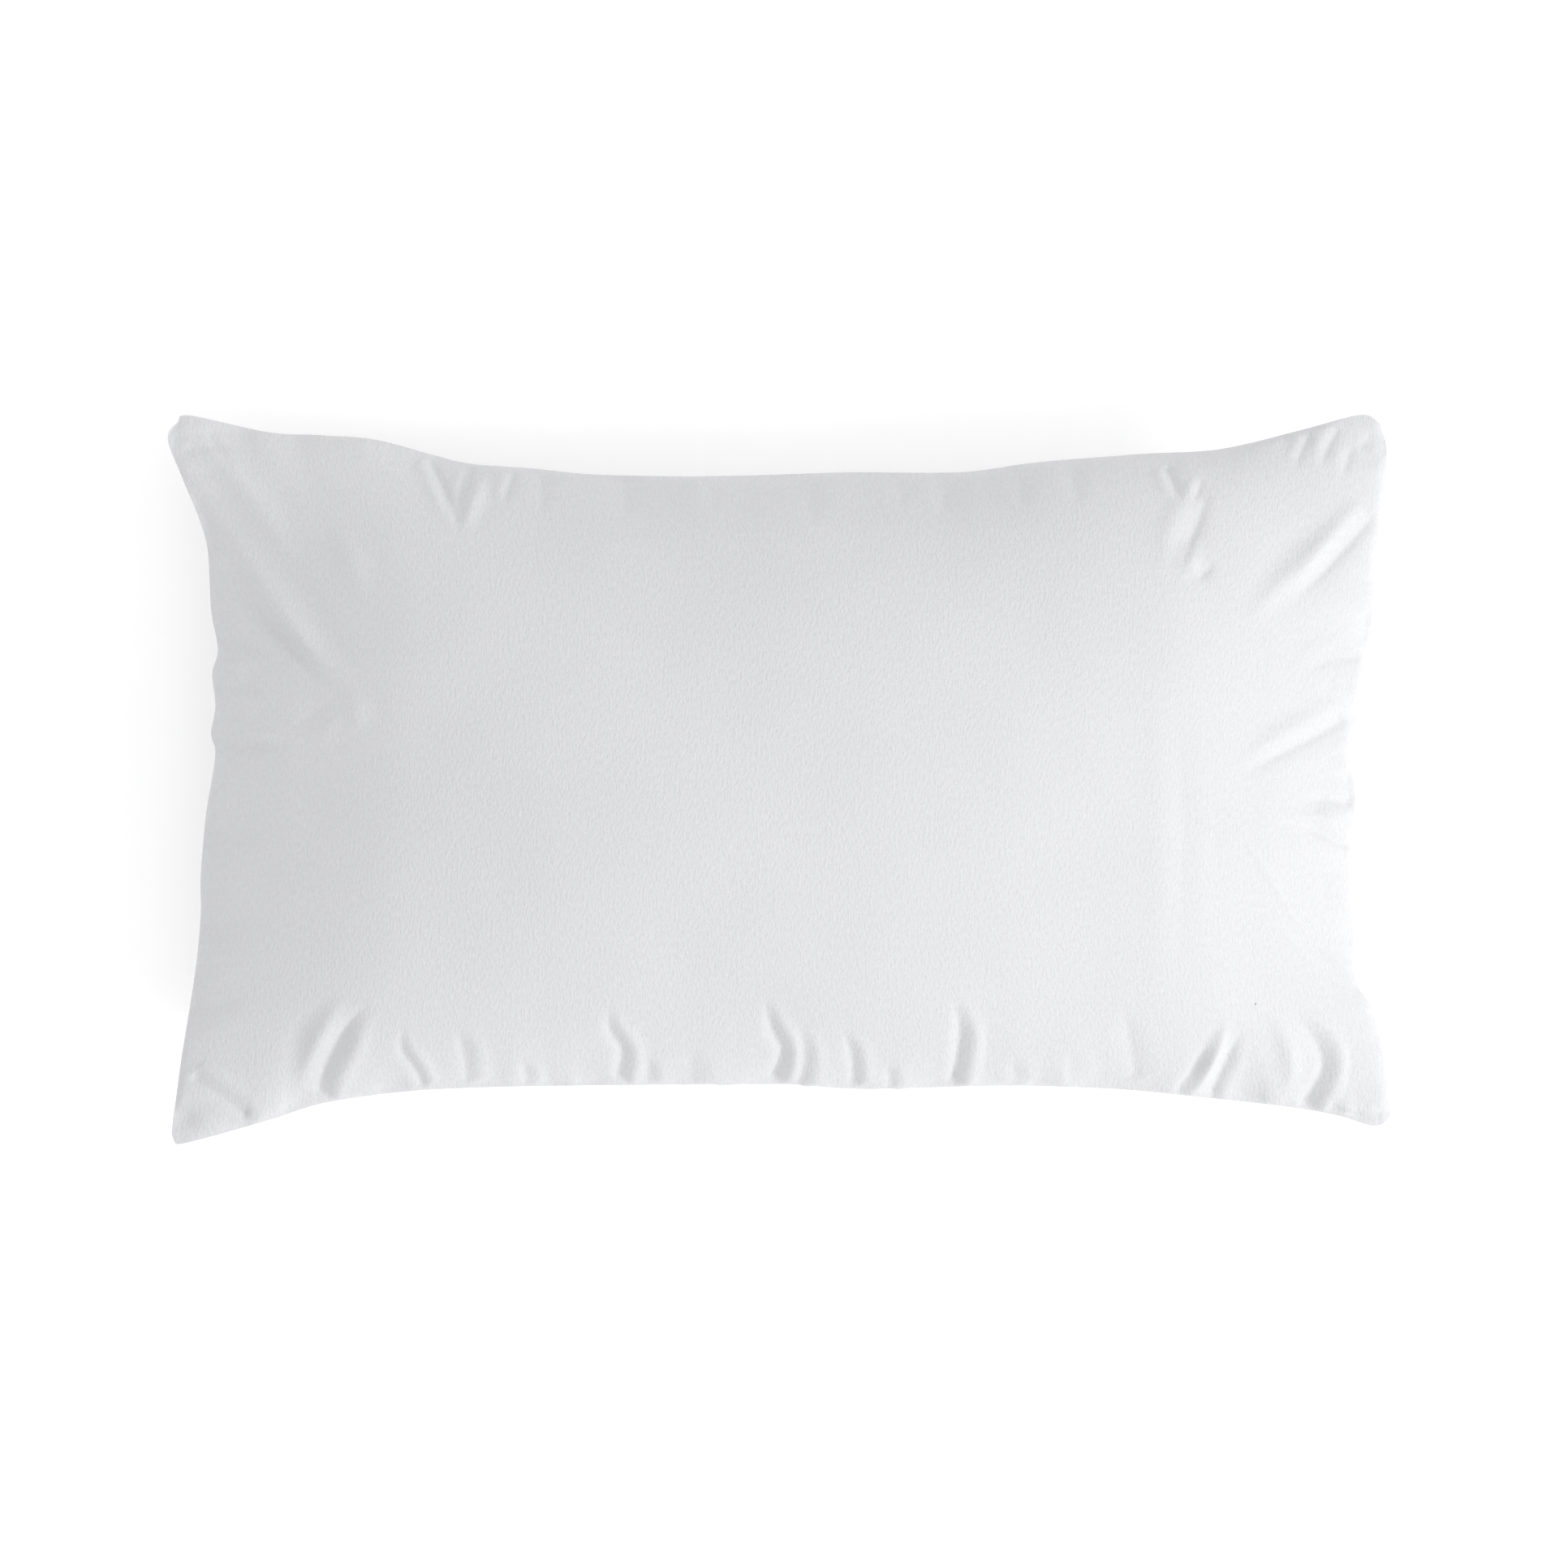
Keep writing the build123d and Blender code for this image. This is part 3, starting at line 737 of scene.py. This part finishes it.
def press_over_zip(grid):
    """Lays the back panel flat over the zip, with two rows of the weave along its slit."""
    middle, up, out, half = zip_frame()
    origin = np.array(middle) / MM
    up, out = np.array(up), np.array(out)
    half = half / MM + SLIT_SPARE
    rel = grid - origin
    a = rel @ up
    o = rel @ out
    x = grid[..., 0]
    along = np.clip((half + PRESSED_SPARE - abs(x)) / PRESSED_FADE, 0, 1)
    along = along * along * (3 - 2 * along)
    centre = grid.shape[1] // 2
    row = int(np.argmin(abs(a[:, centre] - SLIT_HALF) + 1e3 * (o[:, centre] < -20)))
    below = row + 1 if a[row + 1, centre] < a[row, centre] else row - 1
    for r, target in ((row, SLIT_HALF), (below, -SLIT_HALF)):
        open_slit = np.clip((half - abs(x[r])) / SLIT_TAPER, 0, 1)**0.5
        want = target * open_slit + (1 - open_slit) * 0.35 * np.sign(target)
        pull = (want - a[r]) * along[r]
        reach = np.exp(-((np.arange(grid.shape[0]) - r) / 4.0)**2)
        rows = np.arange(grid.shape[0])
        keep = rows <= r if r < (row + below) / 2 else rows >= r
        a = a + (reach * keep)[:, None] * pull[None, :]
    flat = np.clip((PRESSED_HALF - abs(a)) / 12, 0, 1)
    flat = flat * flat * (3 - 2 * flat) * along * (o > -20)
    o = o * (1 - flat) + (CLOTH_OVER_ZIP - 0.6 * np.exp(-(a / 3.0)**2)) * flat
    place = origin + a[..., None] * up + o[..., None] * out
    place[..., 0] = grid[..., 0]
    return place, row, below, half


back, slit_top, slit_bottom, slit_reach = press_over_zip(back)
back[0], back[-1], back[:, 0], back[:, -1] = front[0], front[-1], front[:, 0], front[:, -1]
back[..., 2] = np.maximum(back[..., 2], LEAST_HEIGHT)


# ---------------------------------------------------------------- the cover's two panels

def lay_pattern(obj, grid_shape):
    """A UV map in metres over the panel's grid, so that the weave runs with the cloth."""
    rows, cols = grid_shape
    u = (np.arange(cols) / (cols - 1) - 0.5) * PATTERN_LENGTH * MM
    v = (np.arange(rows) / (rows - 1) - 0.5) * PATTERN_WIDTH * MM
    flat = np.stack(np.meshgrid(u, v), axis=2).reshape(-1, 2)
    layer = obj.data.uv_layers.new(name="cloth")
    corner = np.empty(len(obj.data.loops), int)
    obj.data.loops.foreach_get("vertex_index", corner)
    corner = np.minimum(corner, len(flat) - 1)
    layer.data.foreach_set("uv", flat[corner].reshape(-1))


def smooth_shaded(obj):
    obj.data.polygons.foreach_set("use_smooth", [True] * len(obj.data.polygons))
    obj.data.update()


def cover_panel(name, grid, up, material, slit=None):
    """One panel as a skin, with its edges turned in at the slit."""
    rows, cols = grid.shape[:2]
    numbers = np.arange(rows * cols).reshape(rows, cols)
    faces = grid_faces(numbers, up < 0)
    points = [grid.reshape(-1, 3)]
    if slit:
        top_row, bottom_row, reach = slit
        first = min(top_row, bottom_row)
        mid_x = (grid[first, :-1, 0] + grid[first, 1:, 0]) / 2
        opened = abs(mid_x) < reach
        keep = np.ones((rows - 1, cols - 1), bool)
        keep[first, opened] = False
        faces = faces[keep.ravel()]
        columns = np.nonzero(opened)[0]
        columns = np.append(columns, columns[-1] + 1)
        out = outward(grid, up)
        count = rows * cols
        for r in (first, first + 1):
            inner = grid[r, columns] - out[r, columns] * EDGE_TURN
            inner[:, 1:] += (grid[2 * first + 1 - r, columns][:, 1:] - grid[r, columns][:, 1:]) * 0.1
            points.append(inner)
            below = count + np.arange(len(columns))
            count += len(columns)
            edge = numbers[r, columns]
            strip = np.stack([edge[:-1], edge[1:], below[1:], below[:-1]], axis=1)
            if (r == first) == (up > 0):
                strip = strip[:, ::-1]
            faces = np.vstack([faces, strip])
    obj = add_mesh(name, np.vstack(points), faces)
    lay_pattern(obj, (rows, cols))
    smooth_shaded(obj)
    obj.data.materials.append(material)
    return obj


COTTON = brushed_cotton()
TICKING = woven("cotton ticking", (0.84, 0.85, 0.86), 420, 0.0002)
TAPE = woven("zip tape", (0.78, 0.79, 0.81), 700, 0.0002)
FIBRE = fluffy_fibre()
THREAD = twisted_thread()
NYLON = moulded_nylon()
ENAMEL = enamelled_zinc()

cover_front = cover_panel("cover_front", front, 1, COTTON)
cover_back = cover_panel("cover_back", back, -1, COTTON, (slit_top, slit_bottom, slit_reach - SLIT_SPARE))
for piece, node in ((cover_front, "cover_front_panel"), (cover_back, "cover_back_panel")):
    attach(piece, "pillow")
    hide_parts(node)


# ---------------------------------------------------------------- what the cover holds

EDGE_ROUNDING = 45  # mm over which a filled piece comes up to its full height


def held_inside(cells, clearance):
    """The form of something inside the cover: so many cells in from the seam, clear of the cloth."""
    top, under = (g[cells:-cells, cells:-cells] for g in (core_front, core_back))
    middle = (top + under) / 2
    near_edge = np.clip(np.minimum.reduce(rim_distance(top)) / EDGE_ROUNDING, 0, 1)
    near_edge = near_edge * near_edge * (3 - 2 * near_edge)
    forms = []
    for grid in (top, under):
        rise = grid[..., 2] - middle[..., 2]
        rise = np.sign(rise) * np.maximum(0.95 * abs(rise) - clearance, 0) * near_edge
        forms.append(np.dstack([middle[..., :2], middle[..., 2] + rise]))
    return forms


def filled_piece(name, cells, clearance, material, node_names):
    obj = closed_pillow(name, *held_inside(cells, clearance))
    smooth_shaded(obj)
    obj.data.materials.append(material)
    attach(obj, "pillow")
    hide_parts(*node_names)


filled_piece("inner_case", 5, 5.0, TICKING, ["inner_front_panel", "inner_back_panel"])
filled_piece("fibre_core", 9, 11.0, FIBRE, ["fibre_fill"])


BEAD_SIDES = 10


def seam_bead(name, cells, half_size, node):
    """The overlocked edge of a pair of seam allowances: a wrapped bead all round, inside the seam."""
    top, under = (np.vstack([g[cells, cells:-cells - 1], g[cells:-cells - 1, -cells - 1],
                             g[-cells - 1, -cells - 1:cells:-1], g[-cells - 1:cells:-1, cells]])
                  for g in (core_front, core_back))
    loop = (top + under) / 2
    count = len(loop)
    ahead = np.roll(loop, -1, axis=0) - np.roll(loop, 1, axis=0)
    ahead /= np.linalg.norm(ahead, axis=1, keepdims=True)
    side = np.stack([ahead[:, 1], -ahead[:, 0], np.zeros(count)], axis=1)
    size = np.minimum(half_size, 0.28 * np.abs(top[:, 2] - under[:, 2]))
    rings = []
    for k in range(BEAD_SIDES):
        angle = 2 * math.pi * k / BEAD_SIDES
        wrap = size * (1 + 0.12 * np.sin(np.arange(count) * 2.4 + angle))
        rings.append(loop + side * (1.3 * math.cos(angle) * wrap)[:, None]
                     + np.array([0, 0, 1]) * (math.sin(angle) * wrap)[:, None])
    points = np.stack(rings, axis=1).reshape(-1, 3)
    faces = []
    for i in range(count):
        here, ahead_of_it = i * BEAD_SIDES, (i + 1) % count * BEAD_SIDES
        for k in range(BEAD_SIDES):
            turned = (k + 1) % BEAD_SIDES
            faces.append((here + k, ahead_of_it + k, ahead_of_it + turned, here + turned))
    obj = add_mesh(name, points, np.array(faces))
    smooth_shaded(obj)
    obj.data.materials.append(THREAD)
    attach(obj, "pillow")
    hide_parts(node)


seam_bead("cover_overlock", 3, 1.6, "cover_seam_thread")
seam_bead("inner_overlock", 8, 1.4, "inner_seam_thread")

for node, material in (("zip_tape_upper", TAPE), ("zip_tape_lower", TAPE), ("zip_coil_upper", NYLON),
                       ("zip_coil_lower", NYLON), ("zip_stitching", THREAD), ("zip_end_stops", NYLON),
                       ("zip_bottom_stop", NYLON), ("zip_slider", ENAMEL), ("zip_pull_tab", ENAMEL),
                       ("inner_closing_stitch", THREAD)):
    obj = frame["nodes"][node]
    obj.data.materials.clear()
    obj.data.materials.append(material)


# ---------------------------------------------------------------- the studio

def plain_floor():
    m, nodes, links, shader = finish("white table", (0.97, 0.97, 0.97), 0.8)
    shader.inputs["Specular IOR Level"].default_value = 0.1
    shader.inputs["Emission Color"].default_value = (1, 1, 1, 1)
    shader.inputs["Emission Strength"].default_value = 0.13
    bpy.ops.object.select_all(action="DESELECT")
    bpy.ops.mesh.primitive_plane_add(size=24.0, location=(0, 0, 0))
    floor = bpy.context.object
    floor.name = "table"
    floor.data.materials.append(m)


def area_light(name, place, aim, size, watts):
    data = bpy.data.lights.new(name, "AREA")
    data.shape = "RECTANGLE"
    data.size, data.size_y = size
    data.energy = watts
    lamp = bpy.data.objects.new(name, data)
    lamp.location = place
    lamp.rotation_euler = (Vector(aim) - Vector(place)).to_track_quat("-Z", "Y").to_euler()
    bpy.context.collection.objects.link(lamp)


def studio():
    plain_floor()
    area_light("window", (3.2, -1.3, 2.1), (0, 0, 0.1), (1.3, 1.3), 80)
    area_light("overhead", (0.1, 1.0, 3.6), (0, 0, 0), (3.0, 3.0), 12)
    world = bpy.data.worlds.new("soft room")
    world.use_nodes = True
    world.node_tree.nodes["Background"].inputs["Color"].default_value = (1.0, 1.0, 1.0, 1)
    world.node_tree.nodes["Background"].inputs["Strength"].default_value = 0.885
    bpy.context.scene.world = world
    bpy.context.scene.view_settings.view_transform = "Standard"


SENSOR = 36  # mm


def camera():
    data = bpy.data.cameras.new("above")
    height = 3.4
    shown = 1.0915  # width in view at the seam's level, in metres
    data.sensor_width = SENSOR
    data.lens = SENSOR * (height - SEAM_LEVEL * MM) / shown
    eye = bpy.data.objects.new("above", data)
    eye.location = (0.004, -0.003, height)
    bpy.context.collection.objects.link(eye)
    bpy.context.scene.camera = eye


studio()
camera()
